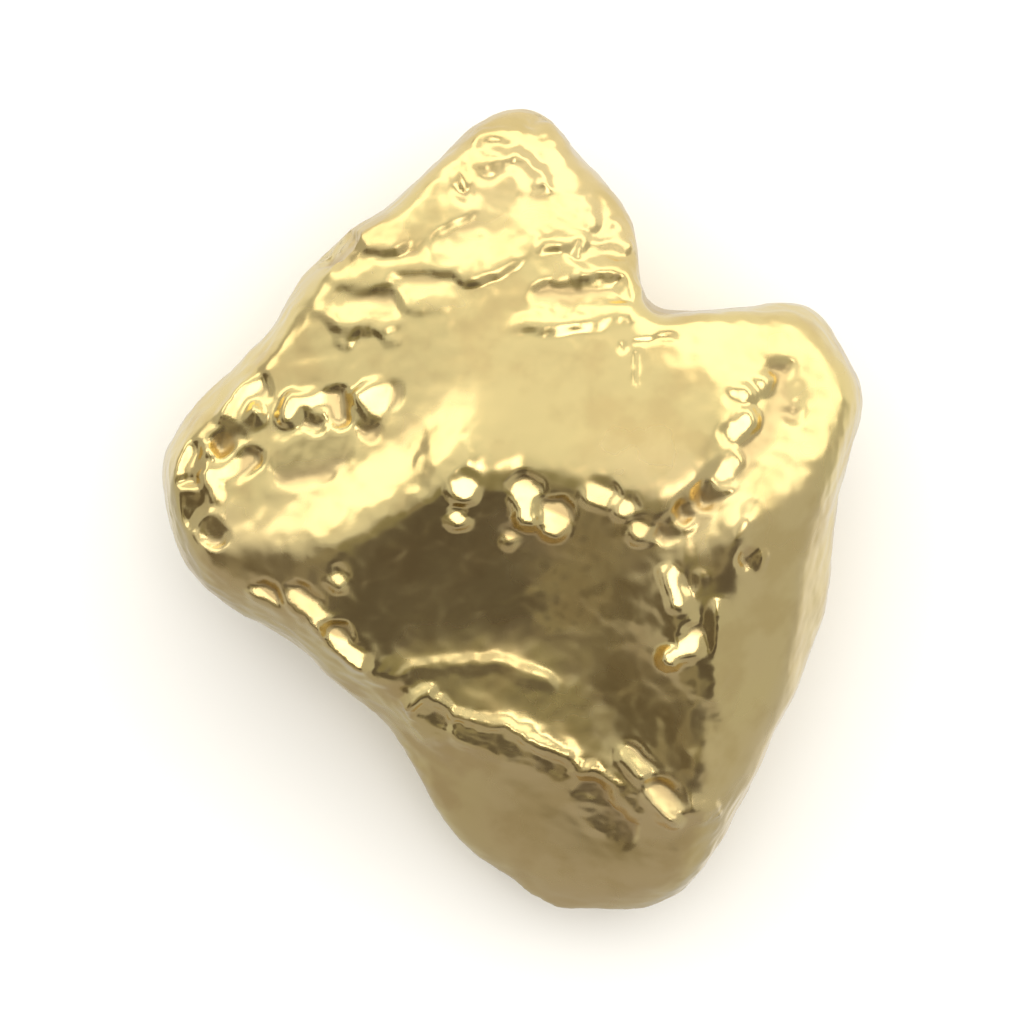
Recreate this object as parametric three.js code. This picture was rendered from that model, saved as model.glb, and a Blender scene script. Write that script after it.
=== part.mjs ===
// A waterworn gold nugget, cast by nature in one piece and lying on the worn flat of its underside.
// Millimetres, +Z up. The origin is the middle of the underside, on the surface that the nugget rests on.
//
// The solid is a sculpted sphere. Its equator is drawn out to the nugget's rim, and its two halves are raised
// and lowered to the upper and the lower ground. Strokes press and lift the surface as a river has, all of it
// is rubbed a little rounder, and the underside is worn flat.
import * as THREE from "three";
import { mergeVertices } from "three/addons/utils/BufferGeometryUtils.js";

const LENGTH = 14.0; // along Y, from the blunt foot to the tip
const WIDTH = 12.12; // along X, from the left lobe to the right lobe
const THICKNESS = 6.3; // from the worn flat to the brow, the highest ground
const SPHERE_DETAIL = 20; // each edge of the icosahedron is cut into one more piece than this
const CROWDING = 0.22; // shifts the sphere's vertices upwards, where the ground is rougher
const WELD = 1e-5; // vertices closer than this on the unit sphere are one vertex
const RIM_STEPS = 360; // straight pieces of the rim's curve

// Stations round the rim, the widest line of the nugget seen from above: x, y, height z, and the width of
// the shoulder that rolls over from the upper ground down to the rim.
const RIM = [
  [0.5, 7.03, 2.8, 0.25], // the tip
  [0.95, 6.32, 2.9, 0.25],
  [1.64, 5.74, 3.1, 0.25],
  [2.12, 5.05, 3.3, 0.3],
  [2.24, 4.35, 3.4, 0.25],
  [2.2, 3.72, 3.5, 0.2],
  [2.44, 3.4, 3.5, 0.2], // the notch
  [3.05, 3.48, 3.4, 0.2],
  [4.1, 3.52, 3.3, 0.2],
  [4.9, 3.6, 3.2, 0.25],
  [5.36, 3.26, 3.1, 0.3], // the right lobe
  [5.82, 2.6, 3.1, 0.35],
  [6.07, 1.95, 3.1, 0.35],
  [5.84, 1.05, 3.0, 0.5],
  [5.56, 0.2, 2.9, 0.6],
  [5.36, -0.8, 2.8, 0.6],
  [5.28, -1.9, 2.7, 0.6],
  [4.98, -2.9, 2.6, 0.6],
  [4.62, -3.7, 2.5, 0.6],
  [4.3, -4.66, 2.3, 0.6],
  [3.84, -5.4, 2.0, 0.7],
  [3.42, -6.0, 1.8, 0.8],
  [2.9, -6.62, 1.5, 0.9],
  [2.1, -6.96, 1.4, 0.9], // the foot
  [1.15, -7.0, 1.4, 0.9],
  [0.5, -6.9, 1.4, 0.8],
  [-0.3, -6.28, 1.5, 0.7],
  [-1.1, -5.45, 1.8, 0.6],
  [-1.7, -4.42, 2.2, 0.6],
  [-2.32, -3.46, 2.5, 0.6],
  [-3.05, -2.9, 2.7, 0.5],
  [-3.8, -2.27, 2.7, 0.5],
  [-4.72, -1.7, 2.7, 0.5],
  [-5.4, -1.25, 2.6, 0.5],
  [-5.8, -0.55, 2.5, 0.5],
  [-6.0, 0.2, 2.4, 0.4], // the left lobe
  [-6.08, 0.92, 2.4, 0.4],
  [-5.66, 1.58, 2.6, 0.4],
  [-4.96, 2.14, 2.8, 0.4],
  [-4.25, 2.95, 3.0, 0.4],
  [-3.7, 3.7, 3.1, 0.4],
  [-3.25, 4.34, 3.1, 0.3], // the left shoulder
  [-2.75, 4.92, 3.0, 0.25],
  [-2.1, 5.2, 2.9, 0.3],
  [-1.3, 6.02, 2.8, 0.25],
  [-0.46, 6.79, 2.8, 0.25],
];

// The upper ground is made of slopes, each a plane through a point x, y, z. It dips towards a compass angle,
// counted in degrees from +X towards +Y, by an angle below the level. Where slopes meet on a crest, the lower
// one counts.
const UPPER_SLOPES = [
  { through: [1.0, 0.5, 6.15], towards: 95, dip: 11 }, // the plateau
  { through: [0.3, 5.7, 5.1], towards: 95, dip: 16 }, // the tip
  { through: [-3.7, 3.0, 5.5], towards: 143, dip: 44 }, // the upper left flank
  { through: [-2.9, 2.0, 5.65], towards: 160, dip: 16 }, // the left lobe
  { through: [3.7, 1.2, 6.05], towards: 38, dip: 22 }, // the right lobe
  { through: [4.5, 2.8, 5.38], towards: 66, dip: 28 }, // its outer edge
  { through: [5.0, -0.3, 5.45], towards: -35, dip: 44 }, // the right flank
  { through: [0.4, -3.9, 4.22], towards: -112, dip: 41 }, // the bulge of the foot
  { through: [3.0, -5.1, 4.2], towards: -55, dip: 42 }, // the foot's right side
];

// Two hollows are cut into them, each walled by slopes of which the higher one counts.
const CUTS = [
  // the dish of the left lobe, behind the brow
  [
    { through: [-2.4, -0.3, 5.85], towards: 140, dip: 27 }, // the back of the brow
    { through: [-2.4, 1.0, 5.43], towards: 170, dip: 11 }, // the dish's floor
  ],
  // the great hollow, the terrace at its foot and the valley that drains it
  [
    { through: [-2.4, -0.3, 5.78], towards: -80, dip: 31 }, // under the brow
    { through: [-0.2, 0.85, 6.1], towards: -92, dip: 31 }, // under the plateau
    { through: [2.3, 0.1, 6.2], towards: -115, dip: 31 }, // its right side
    { through: [-2.9, -1.9, 4.8], towards: 20, dip: 34 }, // the bank on the left
    { through: [3.1, -2.6, 5.3], towards: -135, dip: 31 }, // the valley
    { through: [0.4, -3.9, 4.16], towards: -93, dip: 11 }, // the terrace
  ],
];
const CREST_SOFTNESS = 0.05; // how far slopes round into each other

// Strokes on the upper ground: the path that the middle of the stroke follows, its radius, and how much it
// lifts the ground (less than zero presses it in).
const UPPER_STROKES = [
  // the bank that shuts the hollow on the left
  { path: [[-3.75, -1.4], [-3.1, -2.0], [-2.55, -2.6]], radius: 0.6, lift: 0.2 },
  // the terrace's two folds, which meet at a knuckle, and the dent under the knuckle
  { path: [[-2.3, -2.8], [-1.3, -2.6], [-0.2, -2.6], [0.7, -2.9]], radius: 0.5, lift: 0.1 },
  { path: [[-1.7, -3.2], [-0.6, -3.5], [0.6, -4], [1.7, -4.6], [2.4, -5.1]], radius: 0.45, lift: 0.15 },
  { path: [[1.95, -4.2], [2.6, -4.9], [3.3, -5.1]], radius: 0.5, lift: 0.2 },
  { path: [[1.4, -5.0], [1.9, -5.4]], radius: 0.55, lift: -0.2 },
  // the groove that parts the right lobe from the plateau, and the cut that leads into it
  { path: [[4.6, 2.0], [3.9, 0.9], [3.2, -0.2]], radius: 0.5, lift: -0.22 },
  { path: [[3.3, -0.4], [3.45, -1.3]], radius: 0.6, lift: -0.2 },
  { path: [[2.5, -0.4], [3.3, 0.3]], radius: 0.45, lift: -0.15 },
  // the knob in the hollow's right end
  { path: [[2.5, -1.5], [2.85, -2.2]], radius: 0.65, lift: 0.3 },
  // the dish near the tip, and the fold beside the notch
  { path: [[-0.6, 5.6], [0.0, 5.2]], radius: 0.8, lift: -0.1 },
  { path: [[0.9, 3.75], [2.0, 3.8]], radius: 0.45, lift: -0.1 },
  // a pit on the left shoulder
  { path: [[-3.1, 4.4], [-2.8, 4.6]], radius: 0.45, lift: -0.15 },
];

// The lower ground: it is lowest at the worn flat and climbs away from it, and is swelled and hollowed too.
const FLAT_MIDDLE = [0.45, 0.25]; // near enough under the centre of mass
const FLAT_DEPTH = 0.15; // how much is worn off the underside at its lowest
const LOWER_CLIMB = 0.02; // rise of the lower ground in mm, for each square mm of distance from FLAT_MIDDLE
const LOWER_SHOULDER = 2.6; // width of the shoulder that rolls under from the rim
const LOWER_STROKES = [
  { path: [[-3.0, 2.6], [-1.6, 3.6]], radius: 1.8, lift: 0.7 },
  { path: [[3.4, 1.0], [3.9, -0.8]], radius: 1.5, lift: 0.6 },
  { path: [[-2.6, -1.5], [-1.2, -3.0]], radius: 1.5, lift: 0.5 },
  { path: [[1.2, 5.0], [1.0, 3.6]], radius: 1.4, lift: -0.35 },
  { path: [[2.6, -4.6], [1.6, -5.6]], radius: 1.4, lift: -0.3 },
  { path: [[-4.6, 0.3], [-3.8, 0.9]], radius: 1.3, lift: -0.4 },
  { path: [[4.6, 2.4], [4.0, 2.6]], radius: 1.2, lift: -0.3 },
];

// Strokes anywhere on the surface, which move it along its own normal. Paths are x, y, z.
const FREE_STROKES = [
  // round the sides
  { path: [[-1.2, 6.1, 1.9], [-2.1, 5.2, 2.4]], radius: 1.3, lift: -0.35 },
  { path: [[0.2, 6.6, 1.9]], radius: 1.3, lift: 0.2 },
  { path: [[1.9, 5.2, 2.6], [2.2, 4.2, 4.0]], radius: 0.9, lift: -0.2 },
  { path: [[1.7, 5.0, 1.3]], radius: 1.2, lift: 0.3 },
  { path: [[3.0, 3.3, 2.0], [4.2, 3.3, 2.6]], radius: 1.1, lift: -0.35 },
  { path: [[5.0, 3.4, 3.9]], radius: 0.9, lift: 0.15 },
  { path: [[5.9, 1.6, 2.0], [5.6, 0.2, 1.8]], radius: 1.2, lift: -0.3 },
  { path: [[5.4, -0.6, 3.4], [5.1, -1.8, 3.0]], radius: 1.1, lift: 0.15 },
  { path: [[5.2, -1.8, 1.2], [4.6, -3.4, 1.0]], radius: 1.2, lift: 0.3 },
  { path: [[4.2, -3.6, 2.7], [3.6, -4.6, 2.4]], radius: 1.0, lift: -0.2 },
  { path: [[1.4, -6.7, 1.2], [0.2, -6.3, 1.4]], radius: 1.1, lift: -0.2 },
  { path: [[2.8, -6.0, 2.8]], radius: 1.1, lift: 0.15 },
  { path: [[-1.0, -4.9, 3.3], [-1.6, -4.2, 3.4]], radius: 0.9, lift: -0.2 },
  { path: [[-1.2, -4.4, 0.9], [-2.2, -3.2, 1.2]], radius: 1.0, lift: 0.15 },
  { path: [[-3.6, -2.2, 2.0], [-4.6, -1.6, 2.3]], radius: 1.0, lift: -0.3 },
  { path: [[-5.7, 0.0, 1.6], [-5.6, 1.2, 1.8]], radius: 1.0, lift: -0.25 },
  { path: [[-5.0, 1.9, 3.4], [-4.4, 2.6, 3.8]], radius: 0.9, lift: 0.2 },
  { path: [[-4.6, 2.4, 1.8], [-3.8, 3.5, 2.0]], radius: 1.1, lift: -0.25 },
  { path: [[-3.4, 4.0, 3.2]], radius: 0.9, lift: 0.15 },
  // under the lobes
  { path: [[0.4, 5.8, 1.0]], radius: 1.0, lift: -0.25 },
  { path: [[4.4, 2.0, 1.2]], radius: 1.1, lift: -0.25 },
  { path: [[-3.9, 0.2, 1.0]], radius: 1.1, lift: -0.25 },
  { path: [[1.8, -5.4, 0.8]], radius: 1.0, lift: -0.2 },
];

// A faint lumpiness of the sides and the underside, in rows that bend, lean with height and start off the
// middle.
const LUMP_HEIGHT = 0.07;
const LUMP_SIZE = 1.5; // from the middle of a lump to the middle of the hollow beside it
const LUMP_ROWS = { bend: 0.5, stretch: 0.8, lean: 0.3, start: 1 };
const LUMPS_FADE = [0.2, 0.7]; // upward parts of the surface's normal between which the lumps die out

// Rubbing by gravel: how often each vertex is moved a part of the way to the middle of its neighbours.
const RUB_PASSES = 2;
const RUB_SHARE = 0.45;

const GOLD = new THREE.MeshStandardMaterial({ color: 0xe6c87e, roughness: 0.2, metalness: 1 });

// 0 outside a stroke, 1 in its middle.
function falloff(distance, radius) {
  return THREE.MathUtils.smoothstep(1 - distance / radius, 0, 1);
}

const nearest = new THREE.Vector3();
const segment = new THREE.Line3();

// The distance from a point to a path of straight pieces, or to a single point.
function distanceToPath(point, path) {
  if (path.length === 1) return point.distanceTo(path[0]);
  let least = Infinity;
  for (let i = 1; i < path.length; i++) {
    segment.set(path[i - 1], path[i]).closestPointToPoint(point, true, nearest);
    least = Math.min(least, point.distanceTo(nearest));
  }
  return least;
}

// The strokes with their paths as vectors. A path with no heights lies in the plane of the rim's plan.
function readied(strokes) {
  return strokes.map((stroke) => ({
    ...stroke,
    path: stroke.path.map(([x, y, z = 0]) => new THREE.Vector3(x, y, z)),
  }));
}

function lumpAt({ x, y, z }) {
  const turn = Math.PI / LUMP_SIZE;
  const bent = Math.sin(turn * LUMP_ROWS.bend * (x + y));
  const along = turn * (LUMP_ROWS.stretch * y - LUMP_ROWS.lean * z) + LUMP_ROWS.start;
  return LUMP_HEIGHT * Math.sin(turn * x + bent) * Math.sin(along - bent);
}

function liftAt(point, strokes) {
  return strokes.reduce((sum, s) => sum + s.lift * falloff(distanceToPath(point, s.path), s.radius), 0);
}

// The rim as straight pieces in plan, each with its height and its shoulder's width.
function makeRim() {
  const stations = RIM.map(([x, y, z]) => new THREE.Vector3(x, y, z));
  const points = new THREE.CatmullRomCurve3(stations, true, "centripetal").getPoints(RIM_STEPS);
  points.pop();
  return points.map((point, i) => {
    const along = (i / RIM_STEPS) * RIM.length;
    const station = Math.floor(along);
    const [, , , here] = RIM[station];
    const [, , , next] = RIM[(station + 1) % RIM.length];
    const shoulder = THREE.MathUtils.lerp(here, next, along - station);
    return { plan: new THREE.Vector2(point.x, point.y), height: point.z, shoulder };
  });
}

const rim = makeRim();
const upperStrokes = readied(UPPER_STROKES);
const lowerStrokes = readied(LOWER_STROKES);
const freeStrokes = readied(FREE_STROKES);

// Where a ray from the origin in plan meets the rim: its radius there, its height and its shoulder's width.
function rimAlong(direction) {
  for (let i = 0; i < rim.length; i++) {
    const a = rim[i];
    const b = rim[(i + 1) % rim.length];
    const side = b.plan.clone().sub(a.plan);
    const turn = direction.cross(side);
    const radius = a.plan.cross(side) / turn;
    const share = a.plan.cross(direction) / turn;
    if (radius > 0 && share >= 0 && share <= 1) {
      return {
        radius,
        height: THREE.MathUtils.lerp(a.height, b.height, share),
        shoulder: THREE.MathUtils.lerp(a.shoulder, b.shoulder, share),
      };
    }
  }
  throw new Error("the rim has a gap");
}

// How far a point in plan lies inside the rim.
function depthInside(x, y) {
  const point = new THREE.Vector3(x, y, 0);
  let least = Infinity;
  for (let i = 0; i < rim.length; i++) {
    const a = rim[i].plan;
    const b = rim[(i + 1) % rim.length].plan;
    segment.start.set(a.x, a.y, 0);
    segment.end.set(b.x, b.y, 0);
    segment.closestPointToPoint(point, true, nearest);
    least = Math.min(least, point.distanceTo(nearest));
  }
  return least;
}

// A quarter of an ellipse: 0 at the rim, 1 from a shoulder's width inwards.
function shoulderRise(depth, width) {
  const left = 1 - Math.min(depth / width, 1);
  return Math.sqrt(1 - left * left);
}

function slopeHeight({ through, towards, dip }, x, y) {
  const angle = THREE.MathUtils.degToRad(towards);
  const along = (x - through[0]) * Math.cos(angle) + (y - through[1]) * Math.sin(angle);
  return through[2] - along * Math.tan(THREE.MathUtils.degToRad(dip));
}

// The least of some heights, rounded where two are nearly alike.
function softLeast(heights) {
  const least = Math.min(...heights);
  const sum = heights.reduce((total, z) => total + Math.exp((least - z) / CREST_SOFTNESS), 0);
  return least - CREST_SOFTNESS * Math.log(sum);
}

function softGreatest(heights) {
  return -softLeast(heights.map((z) => -z));
}

function upperGround(x, y) {
  const heights = (slopes) => slopes.map((slope) => slopeHeight(slope, x, y));
  const cuts = CUTS.map((walls) => softGreatest(heights(walls)));
  const ground = softLeast([...heights(UPPER_SLOPES), ...cuts]);
  return ground + liftAt(new THREE.Vector3(x, y, 0), upperStrokes);
}

function lowerGround(x, y) {
  const away = (x - FLAT_MIDDLE[0]) ** 2 + (y - FLAT_MIDDLE[1]) ** 2;
  return LOWER_CLIMB * away - FLAT_DEPTH + liftAt(new THREE.Vector3(x, y, 0), lowerStrokes);
}

// A point of the unit sphere, drawn out to the rim in plan and raised or lowered to the ground.
function onNugget(unit) {
  const latitude = unit.z + CROWDING * (1 - unit.z ** 2);
  const reach = Math.sqrt(Math.max(1 - latitude ** 2, 0));
  const direction = new THREE.Vector2(unit.x, unit.y).normalize();
  if (!direction.x && !direction.y) direction.set(1, 0);
  const edge = rimAlong(direction);
  const x = direction.x * reach * edge.radius;
  const y = direction.y * reach * edge.radius;
  const depth = depthInside(x, y);
  const above = latitude > 0;
  const ground = above ? upperGround(x, y) : lowerGround(x, y);
  const rise = shoulderRise(depth, above ? edge.shoulder : LOWER_SHOULDER);
  return new THREE.Vector3(x, y, THREE.MathUtils.lerp(edge.height, ground, rise));
}

function sculpted() {
  const sphere = new THREE.IcosahedronGeometry(1, SPHERE_DETAIL);
  sphere.deleteAttribute("normal");
  sphere.deleteAttribute("uv");
  const geometry = mergeVertices(sphere, WELD);
  const position = geometry.attributes.position;
  const point = new THREE.Vector3();
  for (let i = 0; i < position.count; i++) {
    point.copy(onNugget(point.fromBufferAttribute(position, i)));
    position.setXYZ(i, point.x, point.y, point.z);
  }
  return geometry;
}

// Moves the surface along its normals by the free strokes and the lumps.
function pressed(geometry) {
  geometry.computeVertexNormals();
  const { position, normal } = geometry.attributes;
  const point = new THREE.Vector3();
  const out = new THREE.Vector3();
  for (let i = 0; i < position.count; i++) {
    point.fromBufferAttribute(position, i);
    out.fromBufferAttribute(normal, i);
    const lump = lumpAt(point) * (1 - THREE.MathUtils.smoothstep(out.z, ...LUMPS_FADE));
    point.addScaledVector(out, liftAt(point, freeStrokes) + lump);
    position.setXYZ(i, point.x, point.y, point.z);
  }
  geometry.deleteAttribute("normal");
  return geometry;
}

// The neighbours of each vertex.
function neighbours(geometry) {
  const index = geometry.index.array;
  const rings = Array.from({ length: geometry.attributes.position.count }, () => new Set());
  for (let i = 0; i < index.length; i += 3) {
    for (let k = 0; k < 3; k++) {
      rings[index[i + k]].add(index[i + ((k + 1) % 3)]);
      rings[index[i + ((k + 1) % 3)]].add(index[i + k]);
    }
  }
  return rings;
}

function rubbed(geometry) {
  const rings = neighbours(geometry);
  const position = geometry.attributes.position;
  const point = new THREE.Vector3();
  const middle = new THREE.Vector3();
  for (let pass = 0; pass < RUB_PASSES; pass++) {
    const before = position.clone();
    rings.forEach((ring, i) => {
      middle.set(0, 0, 0);
      for (const j of ring) middle.add(point.fromBufferAttribute(before, j));
      point.fromBufferAttribute(before, i).lerp(middle.divideScalar(ring.size), RUB_SHARE);
      position.setXYZ(i, point.x, point.y, point.z);
    });
  }
  return geometry;
}

// Wears the underside flat at z = 0, and gives the nugget its exact size about the origin.
function wornFlat(geometry) {
  const position = geometry.attributes.position;
  for (let i = 0; i < position.count; i++) position.setZ(i, Math.max(position.getZ(i), 0));
  geometry.computeBoundingBox();
  const { min, max } = geometry.boundingBox;
  geometry.translate(-(min.x + max.x) / 2, -(min.y + max.y) / 2, -min.z);
  geometry.scale(WIDTH / (max.x - min.x), LENGTH / (max.y - min.y), THICKNESS / (max.z - min.z));
  geometry.computeVertexNormals();
  return geometry;
}

const nugget = new THREE.Mesh(wornFlat(rubbed(pressed(sculpted()))), GOLD);
nugget.name = "nugget";

const part = new THREE.Group();
part.add(nugget);
export default part;
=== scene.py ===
import math

import bmesh
import bpy
import numpy as np
from mathutils import Matrix, Vector, noise


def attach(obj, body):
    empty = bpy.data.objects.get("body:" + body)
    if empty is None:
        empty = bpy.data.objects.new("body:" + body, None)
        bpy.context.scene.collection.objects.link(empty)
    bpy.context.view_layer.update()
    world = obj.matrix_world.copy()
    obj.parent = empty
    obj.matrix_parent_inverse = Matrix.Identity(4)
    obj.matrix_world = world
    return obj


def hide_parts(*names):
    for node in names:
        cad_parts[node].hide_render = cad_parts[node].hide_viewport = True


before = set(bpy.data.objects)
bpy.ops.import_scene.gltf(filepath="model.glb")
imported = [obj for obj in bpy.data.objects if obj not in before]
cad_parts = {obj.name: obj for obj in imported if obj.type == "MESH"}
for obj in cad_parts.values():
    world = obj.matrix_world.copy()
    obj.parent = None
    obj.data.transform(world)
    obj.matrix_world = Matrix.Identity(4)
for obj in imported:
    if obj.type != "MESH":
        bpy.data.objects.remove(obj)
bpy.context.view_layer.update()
SCENE = bpy.context.scene
MM = 0.001


# ---------------------------------------------------------------- colours and nodes


def linear(hex_code):
    """An sRGB hex colour as linear red, green, blue and alpha."""
    channels = [int(hex_code[i : i + 2], 16) / 255 for i in (0, 2, 4)]
    return [
        c / 12.92 if c <= 0.04045 else ((c + 0.055) / 1.055) ** 2.4 for c in channels
    ] + [1.0]


def add(tree, kind, settings=None, inputs=None):
    """Adds a node to a tree and returns it.

    Settings are the node's attributes. Inputs are values or output sockets, by the socket's name or number.
    """
    node = tree.nodes.new(kind)
    for name, value in (settings or {}).items():
        setattr(node, name, value)
    for name, value in (inputs or {}).items():
        if isinstance(value, bpy.types.NodeSocket):
            tree.links.new(value, node.inputs[name])
        else:
            node.inputs[name].default_value = value
    return node


# ---------------------------------------------------------------- the nugget's body

VOXEL = 0.11  # mm between the points of the fine skin. The upper side has twice as many to the mm.
UPWARD = 0.15  # the upward part of the normal at which the upper side begins
SMOOTHING = 4  # passes that take the facets of the CAD solid out of the skin
HALFWAY = 0.5  # how far a smoothing pass moves a point towards the mean of its neighbours
WELD = 1e-6  # m within which two corners of the CAD solid's triangles are one point

cad_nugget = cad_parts["nugget"]


def fine_skin():
    """A closed, even skin of quads over the CAD solid, in millimetres."""
    mesh = bpy.data.meshes.new("nugget_skin")
    bm = bmesh.new()
    bm.from_mesh(cad_nugget.data)
    bmesh.ops.remove_doubles(bm, verts=bm.verts, dist=WELD)
    bmesh.ops.scale(bm, vec=Vector((1 / MM,) * 3), verts=bm.verts)
    bm.to_mesh(mesh)
    bm.clear()
    skin = bpy.data.objects.new("nugget_skin", mesh)
    SCENE.collection.objects.link(skin)
    rounded = skin.modifiers.new("rounded", "SUBSURF")
    rounded.levels = rounded.render_levels = 1
    even = skin.modifiers.new("even", "REMESH")
    even.mode = "VOXEL"
    even.voxel_size = VOXEL
    even.use_smooth_shade = True
    soft = skin.modifiers.new("soft", "SMOOTH")
    soft.iterations = SMOOTHING
    soft.factor = HALFWAY
    made = bpy.data.meshes.new_from_object(
        skin.evaluated_get(bpy.context.evaluated_depsgraph_get())
    )
    bpy.data.objects.remove(skin)
    bm.from_mesh(made)
    bm.normal_update()
    upper = [edge for edge in bm.edges if min(end.normal.z for end in edge.verts) > UPWARD]
    bmesh.ops.subdivide_edges(bm, edges=upper, cuts=1, use_grid_fill=True)
    bmesh.ops.smooth_vert(
        bm, verts=bm.verts, factor=HALFWAY, use_axis_x=True, use_axis_y=True, use_axis_z=True
    )
    bm.to_mesh(made)
    bm.free()
    return made


def vertex_vectors(mesh, attribute):
    """The vertices' positions ("co") or normals ("normal"), one row for each."""
    flat = np.empty(len(mesh.vertices) * 3)
    mesh.vertices.foreach_get(attribute, flat)
    return flat.reshape(-1, 3)


def distance_in_plan(points, path):
    """How far points lie from a path, both seen from above."""
    path = np.array(path, dtype=float)
    least = np.hypot(*(points - path[0]).T)
    for start, end in zip(path[:-1], path[1:]):
        along = end - start
        share = np.clip((points - start) @ along / (along @ along), 0, 1)
        least = np.minimum(least, np.hypot(*(points - start - share[:, None] * along).T))
    return least


def smoothstep(share):
    """A soft step from 0 to 1, without corners at its ends."""
    share = np.clip(share, 0, 1)
    return share * share * (3 - 2 * share)


# Lengths are in millimetres, and a path is seen from above. Compass angles are in degrees from +X towards +Y.

# Strokes on the upper side: the path of a stroke's middle, its radius, and how far it lifts the metal, or
# presses it in where that is less than zero.
STROKES = [
    # the tip: a bar and a fold under a small three-cornered dent
    ([(0.45, 6.62)], 0.26, -0.09),
    ([(0.75, 6.3), (0.7, 6.6)], 0.35, 0.07),
    ([(-0.5, 6.38), (0.05, 6.4)], 0.28, 0.07),
    # an arched rim round a dish below it, with a bead and a dent on its left
    ([(-0.5, 5.88), (0.05, 6.0), (0.45, 5.75), (0.58, 5.45), (0.35, 5.15)], 0.26, 0.08),
    ([(-0.85, 5.72)], 0.24, 0.06),
    ([(-0.87, 5.45)], 0.22, -0.05),
    # a bar across the upper lobe, and its right edge
    ([(0.5, 4.52), (1.2, 4.54)], 0.22, 0.06),
    ([(1.45, 5.2), (1.5, 4.7)], 0.25, -0.06),
    ([(1.78, 4.93)], 0.18, 0.05),
    ([(1.95, 4.5)], 0.2, 0.05),
    # the left shoulder: a pit, and a furrow that runs from it
    ([(-3.1, 4.35), (-2.75, 4.6)], 0.26, -0.14),
    ([(-2.4, 4.3), (-1.6, 4.4)], 0.3, -0.05),
    # the points of a star-shaped patch
    ([(-2.6, 3.2), (-2.85, 2.9)], 0.2, 0.04),
    ([(-2.3, 3.2), (-2.05, 2.9)], 0.2, 0.04),
    ([(-2.7, 3.32), (-3.25, 3.35)], 0.2, 0.04),
    # folds that run to the notch and meet beside it like a hairpin
    ([(1.0, 4.38), (2.0, 4.36)], 0.22, -0.06),
    ([(0.5, 3.68), (1.8, 3.75)], 0.3, -0.08),
    ([(1.2, 4.0), (1.85, 3.98), (2.08, 3.75)], 0.24, 0.06),
    ([(0.2, 3.2), (1.6, 3.28), (1.95, 3.42)], 0.28, 0.06),
    # nicks on the plateau
    ([(2.1, 2.85), (2.75, 2.9)], 0.12, -0.03),
    ([(2.1, 2.2), (2.1, 2.6)], 0.12, -0.03),
    ([(1.8, 2.75)], 0.15, -0.04),
    # the right lobe: pits in the groove's head
    ([(4.5, 2.35)], 0.35, -0.1),
    ([(4.75, 1.6)], 0.3, -0.08),
    # the brow's inner end
    ([(-1.2, 0.85), (-1.0, 1.1)], 0.7, 0.08),
    # swells and dents along the border of the great hollow and the right flank
    ([(3.45, -2.8), (3.35, -3.0)], 0.45, 0.07),
    ([(3.35, -3.6)], 0.4, -0.06),
    ([(3.25, -4.3)], 0.45, 0.06),
    # the terrace: its upper fold
    ([(-2.3, -2.8), (-1.2, -2.6), (-0.3, -2.58), (0.6, -2.9)], 0.24, 0.045),
    # its lower fold
    ([(-1.75, -3.25), (-1.4, -3.12), (-1.0, -3.5), (-0.1, -3.66), (0.4, -3.93), (1.0, -4.33)], 0.2, 0.1),
    ([(-1.75, -3.25)], 0.3, 0.07),
    ([(-1.7, -3.5), (-1.5, -3.85)], 0.18, 0.06),
    ([(1.25, -4.4), (1.7, -4.65), (2.1, -5.15)], 0.22, 0.1),
    ([(2.6, -5.0), (3.35, -5.1)], 0.26, 0.1),
]

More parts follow.
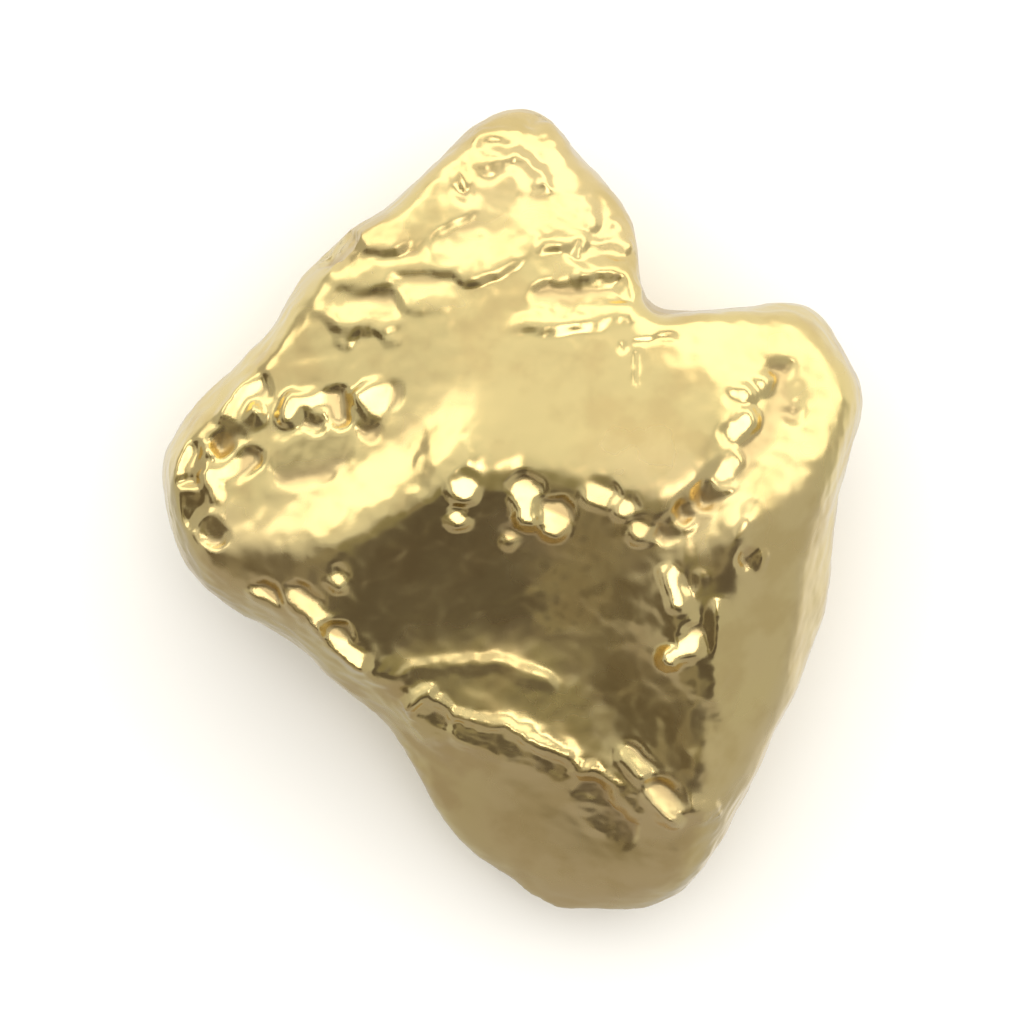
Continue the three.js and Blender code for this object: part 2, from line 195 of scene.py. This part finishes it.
# Nubs, whose tops have been rubbed nearly level: the path of a nub's middle, its half width, and how far its
# top stands over the metal at the first point of that path.
NUBS = [
    # beads along the groove's left edge
    ([(4.2, 2.15)], 0.08, 0.03),
    ([(3.75, 1.98), (3.92, 1.96)], 0.08, 0.02),
    ([(3.82, 1.4), (3.72, 1.28), (3.95, 1.52)], 0.12, 0.04),
    ([(3.6, 0.75), (3.52, 0.62), (3.72, 0.85)], 0.1, 0.03),
    # the left lobe: its outer edge, and the curls in its dish
    ([(-5.6, 0.88), (-5.75, 0.68), (-5.5, 1.02)], 0.12, 0.02),
    ([(-4.57, 2.0), (-4.27, 2.1), (-4.52, 2.08), (-4.62, 1.85), (-4.76, 1.66)], 0.1, 0.04),
    ([(-3.35, 1.9), (-3.72, 1.86), (-3.78, 1.6), (-3.72, 1.86), (-2.98, 1.9), (-2.93, 1.6)], 0.09, 0.04),
    ([(-2.25, 1.9), (-2.1, 1.98), (-2.45, 1.95), (-2.3, 1.78)], 0.14, 0.04),
    ([(-4.9, 0.66), (-4.42, 0.92), (-4.72, 0.68), (-5.12, 0.64), (-4.98, 0.28)], 0.09, 0.04),
    # the plateau's edge, where they hang over the great hollow
    ([(-0.8, 0.4)], 0.18, 0.02),
    ([(-0.93, -0.1)], 0.09, 0.01),
    ([(-0.02, -0.42)], 0.1, 0.01),
    ([(0.27, 0.3), (0.3, 0.02)], 0.22, 0.0),
    ([(0.72, -0.02), (0.72, -0.15)], 0.22, 0.02),
    ([(1.4, 0.3), (1.6, 0.25)], 0.14, 0.02),
    ([(1.9, 0.08)], 0.13, 0.02),
    ([(2.15, -0.35)], 0.14, 0.03),
    ([(-2.93, -1.13)], 0.1, 0.02),
    # the hollow's right end: a dash, and the curled rim of a knob
    ([(2.73, -1.25), (2.7, -1.05), (2.78, -1.48)], 0.1, 0.05),
    ([(2.9, -2.35), (3.02, -2.05), (2.98, -2.35), (2.65, -2.44)], 0.1, 0.04),
    # the bank on the hollow's left
    ([(-4.2, -1.46)], 0.2, 0.02),
    ([(-3.4, -1.65), (-3.65, -1.4), (-3.2, -1.88)], 0.13, 0.01),
    ([(-2.88, -2.24), (-3.0, -2.1), (-2.62, -2.56)], 0.13, 0.01),
]
NUB_TILT = (0, 5.5)  # the compass angle and the dip of the nubs' tops, in degrees

# Patches that rubbing has left, with soft edges: path, half width, how far the patch stands over the metal at
# the first point of its path, and the compass angle and the dip of its slope.
PATCHES = [
    # pale patches on the upper lobe
    ([(0.75, 5.1), (0.5, 5.1), (1.1, 5.1)], 0.2, 0.0, 85, 25),
    ([(-0.6, 4.45), (-1.05, 4.35), (-0.55, 4.6), (-0.15, 4.5), (-0.7, 4.25)], 0.18, 0.0, 95, 26),
    ([(-1.5, 3.7), (-1.75, 3.72), (-1.25, 3.7)], 0.1, 0.0, 100, 25),
    ([(-2.5, 3.38), (-2.8, 3.38), (-2.15, 3.42)], 0.13, 0.0, 105, 25),
    ([(-2.85, 4.12)], 0.08, 0.0, 110, 25),
    ([(-2.3, 4.7), (-2.1, 4.68)], 0.08, 0.0, 110, 25),
    # the floor of the dish under the arched rim
    ([(-0.2, 5.3), (-0.35, 5.05), (-0.05, 5.5)], 0.08, 0.0, 90, 13),
]

# Faces that blows have left, with firmer edges, in the same terms as the patches.
FACES = [
    # the pit on the left shoulder
    ([(-2.9, 4.48), (-3.05, 4.38), (-2.75, 4.6)], 0.08, -0.03, -130, 31),
    # the left lobe: the floor of its dish, and dark flanks round its curls
    ([(-3.4, 0.95), (-3.7, 0.85), (-3.1, 1.15)], 0.3, 0.0, -150, 12),
    ([(-3.35, 1.58)], 0.1, -0.02, -115, 28),
    ([(-2.4, 1.5)], 0.1, -0.02, -115, 28),
    ([(-4.6, 1.38), (-4.4, 1.65), (-4.9, 1.15)], 0.06, -0.02, -125, 29),
    ([(-5.35, 0.75), (-5.2, 0.9), (-5.45, 0.6)], 0.06, -0.02, -125, 29),
    ([(-5.45, 0.25), (-5.4, 0.0)], 0.1, -0.02, -125, 31),
    ([(-5.15, -0.2), (-5.05, -0.35)], 0.08, -0.02, -125, 31),
    # the scratch at the groove's foot, and the flanks beside the dash and the knob
    ([(2.75, -0.18), (2.6, -0.3), (2.85, -0.1)], 0.07, -0.04, -135, 30),
    ([(3.05, 0.1), (2.95, 0.02), (3.15, 0.18)], 0.07, -0.04, -135, 30),
    ([(3.35, 0.35), (3.25, 0.27), (3.45, 0.43)], 0.07, -0.04, -135, 30),
    ([(4.05, -0.8)], 0.08, -0.03, -140, 31),
    ([(3.05, -1.15)], 0.08, -0.03, -140, 31),
    ([(3.32, -1.95), (3.32, -1.75), (3.3, -2.15)], 0.08, -0.03, -140, 31),
    # the knuckle where the terrace's lower fold meets the valley
    ([(2.15, -4.3), (2.0, -4.15), (2.3, -4.45)], 0.08, 0.0, 60, 18),
    ([(2.6, -4.95), (2.5, -4.8), (2.7, -5.08)], 0.14, -0.04, 60, 18),
    # the undercut below the terrace's lower fold
    ([(-1.3, -3.6), (-1.25, -3.75)], 0.1, -0.02, -100, 31),
    ([(0.0, -4.05), (-0.9, -3.8), (0.85, -4.42)], 0.06, -0.02, -104, 31),
    ([(1.5, -5.1), (1.3, -4.85), (1.8, -5.45)], 0.22, -0.03, -98, 31),
]
NUB_EDGE = 0.18  # over which a nub runs out into the metal round it
FACE_EDGE = 0.24  # over which a face runs out
PATCH_EDGE = 0.34  # over which a patch runs out
STEEPEST = (0.3, 0.6)  # the upward parts of the normal between which nubs, patches and faces fade in

# Nothing on the metal is even: outlines bend and break up, and faint lumps cover all of it.
WANDER = [(0.45, 0.12), (0.15, 0.05)]  # size and reach of the bends in the strokes' outlines
FACE_WANDER = 0.6  # share of those bends in the outlines of nubs, patches and faces
LUMPS = [(0.9, 0.02), (0.45, 0.022), (0.22, 0.012)]  # size and height of the faint lumps
WORN_AWAY = 0.75  # share of the lumps that is gone where the ground is worn smoother
SMOOTH_GROUND = [  # that ground: path and radius
    ([(-0.5, 1.9), (2.8, 1.4)], 2.2),
    ([(4.6, -1.0), (4.2, -3.8)], 1.6),
    ([(-0.4, -5.4), (1.8, -6.2)], 1.6),
]
NOISE_SHIFT = Vector((31.0, 17.0, 5.0))  # from one noise to the next
noise.seed_set(1)  # without it, every run has its own noise


def noise_at(points, size, number):
    """Three-way noise between about -1 and 1 for each point. Each number gives another noise."""
    shift = NOISE_SHIFT * (number + 1)
    return np.array([noise.noise_vector(Vector(p) / size + shift) for p in points])


def stroke_sum(points, strokes):
    """The strokes' lifts together, for points seen from above."""
    total = np.zeros(len(points))
    for path, radius, lift in strokes:
        total += lift * smoothstep(1 - distance_in_plan(points, path) / radius)
    return total


def with_faces(points, plan, upward):
    """The points with the patches, the faces and the nubs laid over them.

    Plan holds the points' places seen from above, once bent, and upward the upward parts of their normals.
    """
    heights = points[:, 2].copy()
    least, most = STEEPEST
    allowed = smoothstep((upward - least) / (most - least))
    for path, half_width, rise, towards, dip, edge in [
        *((*patch, PATCH_EDGE) for patch in PATCHES),
        *((*face, FACE_EDGE) for face in FACES),
        *((*nub, *NUB_TILT, NUB_EDGE) for nub in NUBS),
    ]:
        share = allowed * smoothstep((half_width + edge - distance_in_plan(plan, path)) / edge)
        away = plan - path[0]
        turn = math.radians(towards)
        drop = math.tan(math.radians(dip)) * (away @ (math.cos(turn), math.sin(turn)))
        nearest = np.where(allowed > 0.5, np.hypot(*away.T), np.inf).argmin()
        level = heights[nearest] + rise
        heights += share * (level - drop - heights)
    return np.column_stack([points[:, :2], heights])


def shaped(points, normals):
    """The points moved by the strokes and the faint lumps, with the patches, faces and nubs over them."""
    wander = sum(reach * noise_at(points, size, i) for i, (size, reach) in enumerate(WANDER))
    lumps = sum(height * noise_at(points, size, i)[:, 0] for i, (size, height) in enumerate(LUMPS, 5))
    upper = smoothstep(normals[:, 2] / UPWARD)
    plan = (points + wander)[:, :2]
    smooth = np.minimum(stroke_sum(plan, [(*ground, 1.0) for ground in SMOOTH_GROUND]), 1)
    lifts = upper * stroke_sum(plan, STROKES) + lumps * (1 - WORN_AWAY * smooth * upper)
    moved = points + lifts[:, None] * normals
    return with_faces(moved, (moved + FACE_WANDER * wander)[:, :2], normals[:, 2])


def spread(mesh, values, passes):
    """Vertex values after each has been replaced by the mean of its neighbours a number of times."""
    ends = np.empty(len(mesh.edges) * 2, dtype=np.int64)
    mesh.edges.foreach_get("vertices", ends)
    a, b = ends.reshape(-1, 2).T
    count = len(mesh.vertices)
    valence = np.bincount(a, minlength=count) + np.bincount(b, minlength=count)
    for _ in range(passes):
        near = [np.bincount(a, c[b], count) + np.bincount(b, c[a], count) for c in values.T]
        values = np.array(near).T / valence[:, None]
    return values


def paint(mesh, name, values):
    """Gives the mesh an attribute with one value for each vertex."""
    layer = mesh.attributes.new(name, "FLOAT", "POINT")
    layer.data.foreach_set("value", values.astype(np.float32))


gold_mesh = fine_skin()
body = shaped(vertex_vectors(gold_mesh, "co"), vertex_vectors(gold_mesh, "normal"))
gold_mesh.vertices.foreach_set("co", body.ravel())
gold_mesh.update()
AROUND = 120  # passes, after which a point stands for the ground some 0.6 mm around it
# How far each point lies under the ground around it, in millimetres: the material darkens the hollows with
# it, partly as a brown film and partly as painted shade.
below = (spread(gold_mesh, body, AROUND) - body) * vertex_vectors(gold_mesh, "normal")
paint(gold_mesh, "sunk", below.sum(axis=1))


# ---------------------------------------------------------------- native gold

LUMP = 0.5  # m across a lump of noise of scale 1


def native_gold():
    """Native gold, 85 to 90% pure, rounded and burnished by gravel.

    The metal is pale yellow and mirrors its surroundings softly. A faint stain mottles it, and the hollows
    keep a thin brown film of iron oxide that dulls and darkens them; that darkening is partly painted shade.
    """
    mat = bpy.data.materials.new("native_gold_waterworn")
    mat.use_nodes = True
    tree = mat.node_tree
    tree.nodes.clear()
    place = add(tree, "ShaderNodeTexCoord").outputs["Object"]
    sunk = add(tree, "ShaderNodeAttribute", {"attribute_name": "sunk"}).outputs["Fac"]
    shares = {}
    for name, size, detail, low, high in [
        ("patches", 2.4, 3.0, 0.42, 0.62),  # 2.4 mm across, where silver has leached out
        ("wear", 1.1, 4.0, 0.35, 0.7),  # 1.1 mm across, duller against brighter wear
        ("stain", 0.5, 4.0, 0.45, 0.65),  # 0.5 mm across, a faint tea-coloured stain
    ]:
        lumps = add(
            tree,
            "ShaderNodeTexNoise",
            inputs={"Vector": place, "Scale": LUMP / (size * MM), "Detail": detail},
        )
        shares[name] = add(
            tree,
            "ShaderNodeMapRange",
            {"interpolation_type": "SMOOTHSTEP"},
            {"Value": lumps.outputs[0], "From Min": low, "From Max": high},
        ).outputs[0]
    # The brown film, which also paints shade into the hollows, begins 0.01 mm under the ground around it, and
    # from 0.06 mm on it covers half of the metal.
    film_and_shade = add(
        tree,
        "ShaderNodeMapRange",
        {"interpolation_type": "SMOOTHSTEP"},
        {"Value": sunk, "From Min": 0.01, "From Max": 0.06, "To Max": 0.5},
    ).outputs[0]
    metal = linear("F8E19C")
    for share, colour in [
        (shares["patches"], "F6DD9E"),
        (shares["stain"], "EDD391"),
        # darker brown in the hollows: partly an oxide film, partly painted shade
        (film_and_shade, "CBB184"),
    ]:
        metal = add(
            tree,
            "ShaderNodeMix",
            {"data_type": "RGBA"},
            {"Factor": share, 6: metal, 7: linear(colour)},
        ).outputs[2]
    rough = 0.19  # where the burnish is at its best
    for share, more in [(shares["wear"], 0.12), (film_and_shade, 0.25)]:
        rough = add(
            tree,
            "ShaderNodeMath",
            {"operation": "MULTIPLY_ADD"},
            {0: share, 1: more, 2: rough},
        ).outputs[0]
    # Scuffs too small for the fine skin, drawn 0.16 mm across, which is coarser than real ones.
    scuffs = add(
        tree,
        "ShaderNodeTexNoise",
        inputs={"Vector": place, "Scale": LUMP / (0.16 * MM), "Detail": 3.0},
    )
    relief = add(
        tree,
        "ShaderNodeBump",
        inputs={"Strength": 0.25, "Distance": 0.012 * MM, "Height": scuffs.outputs[0]},
    )
    shader = add(
        tree,
        "ShaderNodeBsdfPrincipled",
        inputs={
            "Base Color": metal,
            "Metallic": 1.0,
            "Roughness": rough,
            "Normal": relief.outputs[0],
        },
    )
    add(tree, "ShaderNodeOutputMaterial", inputs={"Surface": shader.outputs["BSDF"]})
    return mat


gold_mesh.transform(Matrix.Scale(MM, 4))
gold_mesh.materials.clear()
gold_mesh.materials.append(native_gold())
nugget = bpy.data.objects.new("gold_nugget", gold_mesh)
SCENE.collection.objects.link(nugget)
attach(nugget, "root")
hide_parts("nugget")


# ---------------------------------------------------------------- studio

TABLE_RADIUS = 3.0  # m


def matt_paper():
    """Uncoated white paper: it scatters light evenly and mirrors nothing."""
    mat = bpy.data.materials.new("white_paper_uncoated")
    mat.use_nodes = True
    tree = mat.node_tree
    tree.nodes.clear()
    shader = add(tree, "ShaderNodeBsdfDiffuse", inputs={"Color": linear("F4F2EC")})
    add(tree, "ShaderNodeOutputMaterial", inputs={"Surface": shader.outputs["BSDF"]})
    return mat


bm = bmesh.new()
bmesh.ops.create_circle(bm, cap_ends=True, segments=96, radius=TABLE_RADIUS)
table_mesh = bpy.data.meshes.new("pale_table")
bm.to_mesh(table_mesh)
bm.free()
table_mesh.materials.append(matt_paper())
table = bpy.data.objects.new("pale_table", table_mesh)
SCENE.collection.objects.link(table)
table.visible_glossy = False

# What the gold mirrors. Each area of the sky has a compass angle and a height over the horizon, both in
# degrees, and the inner and outer radius between which it fades. Lights replace what is darker behind them,
# and flags take a share of the light away.
BACKDROP = (0.9, 0.9, 0.88)  # what shows behind the nugget
BASE_LIGHT = 0.47  # where there is neither a light nor a flag
LIGHTS = [
    # small and strong, high up: the nubs' tops mirror it
    (0, 79, 6, 11, (3.2, 3.0, 2.9)),
    # broad and dim, high at the back: the plateau and the left lobe's dish
    (108, 56, 8, 46, (0.84, 0.84, 0.84)),
    (165, 64, 8, 30, (0.72, 0.72, 0.72)),
    # bright, lower at the back: the brow, the patches and the back rim
    (135, 37, 15, 26, (1.7, 1.67, 1.6)),
    (65, 37, 15, 26, (1.7, 1.67, 1.6)),
    (100, 30, 12, 22, (1.7, 1.67, 1.6)),
    (34, 37, 15, 26, (1.7, 1.67, 1.6)),
    # what the table throws back, behind the nugget
    (75, -35, 60, 85, (0.85, 0.85, 0.85)),
]
FLAGS = [
    # low in front: the great hollow and the faces
    (-84, 32, 17, 27, (0.78, 0.81, 0.82)),
    (-115, 32, 17, 27, (0.45, 0.5, 0.58)),
    (-142, 28, 15, 23, (0.75, 0.79, 0.83)),
    # high in front: the terrace
    (-93, 64, 11, 21, (0.52, 0.55, 0.68)),
    # along the table in front: the front flanks
    (-105, -5, 30, 55, (0.2, 0.24, 0.22)),
]
world = bpy.data.worlds.new("studio")
SCENE.world = world
world.use_nodes = True
sky = world.node_tree
sky.nodes.clear()
where = add(sky, "ShaderNodeTexCoord").outputs["Generated"]


def sky_share(compass, height, inner, outer):
    """An output that is 1 within the inner radius of a place in the sky and 0 outside the outer radius."""
    turn, rise = math.radians(compass), math.radians(height)
    axis = (math.cos(rise) * math.cos(turn), math.cos(rise) * math.sin(turn), math.sin(rise))
    facing = add(sky, "ShaderNodeVectorMath", {"operation": "DOT_PRODUCT"}, {0: where, 1: axis})
    share = add(
        sky,
        "ShaderNodeMapRange",
        {"interpolation_type": "SMOOTHSTEP"},
        {
            "Value": facing.outputs["Value"],
            "From Min": math.cos(math.radians(outer)),
            "From Max": math.cos(math.radians(inner)),
        },
    )
    return share.outputs["Result"]


total = add(sky, "ShaderNodeCombineXYZ", inputs={i: BASE_LIGHT for i in range(3)}).outputs[0]
for *area, light in LIGHTS:
    lit = add(
        sky,
        "ShaderNodeVectorMath",
        {"operation": "MULTIPLY"},
        {0: sky_share(*area), 1: light},
    )
    total = add(
        sky,
        "ShaderNodeVectorMath",
        {"operation": "MAXIMUM"},
        {0: total, 1: lit.outputs[0]},
    ).outputs[0]
kept = add(sky, "ShaderNodeCombineXYZ", inputs={i: 1.0 for i in range(3)}).outputs[0]
for *area, loss in FLAGS:
    left = add(
        sky,
        "ShaderNodeVectorMath",
        {"operation": "MULTIPLY_ADD"},
        {0: sky_share(*area), 1: [-part for part in loss], 2: (1, 1, 1)},
    )
    kept = add(
        sky,
        "ShaderNodeVectorMath",
        {"operation": "MINIMUM"},
        {0: kept, 1: left.outputs[0]},
    ).outputs[0]
mirrored = add(sky, "ShaderNodeVectorMath", {"operation": "MULTIPLY"}, {0: total, 1: kept})
behind = add(sky, "ShaderNodeLightPath").outputs["Is Camera Ray"]
seen = add(
    sky,
    "ShaderNodeMix",
    {"data_type": "VECTOR"},
    {0: behind, 4: mirrored.outputs[0], 5: BACKDROP},
).outputs[1]
background = add(sky, "ShaderNodeBackground", inputs={"Color": seen, "Strength": 1.0})
add(sky, "ShaderNodeOutputWorld", inputs={"Surface": background.outputs[0]})

# Soft light for the table, which the gold doesn't mirror. Metres and watts.
top = bpy.data.lights.new("table_light", "AREA")
top.shape = "DISK"
top.size = 0.9
top.energy = 3.0
top_object = bpy.data.objects.new("table_light", top)
top_object.location = (0.03, 0.06, 0.5)
top_object.rotation_euler = (-top_object.location).to_track_quat("-Z", "Y").to_euler()
top_object.visible_glossy = False
top_object.visible_camera = False
SCENE.collection.objects.link(top_object)

# ---------------------------------------------------------------- camera

# Straight from above, through a long lens.
FOCAL_LENGTH = 200  # mm
SENSOR = 36  # mm
FIELD = 17.766 * MM  # how wide the view is at the rim
RIM_HEIGHT = 2.7 * MM

lens = bpy.data.cameras.new("camera")
lens.lens = FOCAL_LENGTH
lens.sensor_width = SENSOR
lens.clip_start = 0.001
lens.clip_end = 10
camera = bpy.data.objects.new("camera", lens)
camera.location = (0, 0, RIM_HEIGHT + FIELD / SENSOR * FOCAL_LENGTH)
SCENE.collection.objects.link(camera)
SCENE.camera = camera
SCENE.view_settings.view_transform = "Standard"
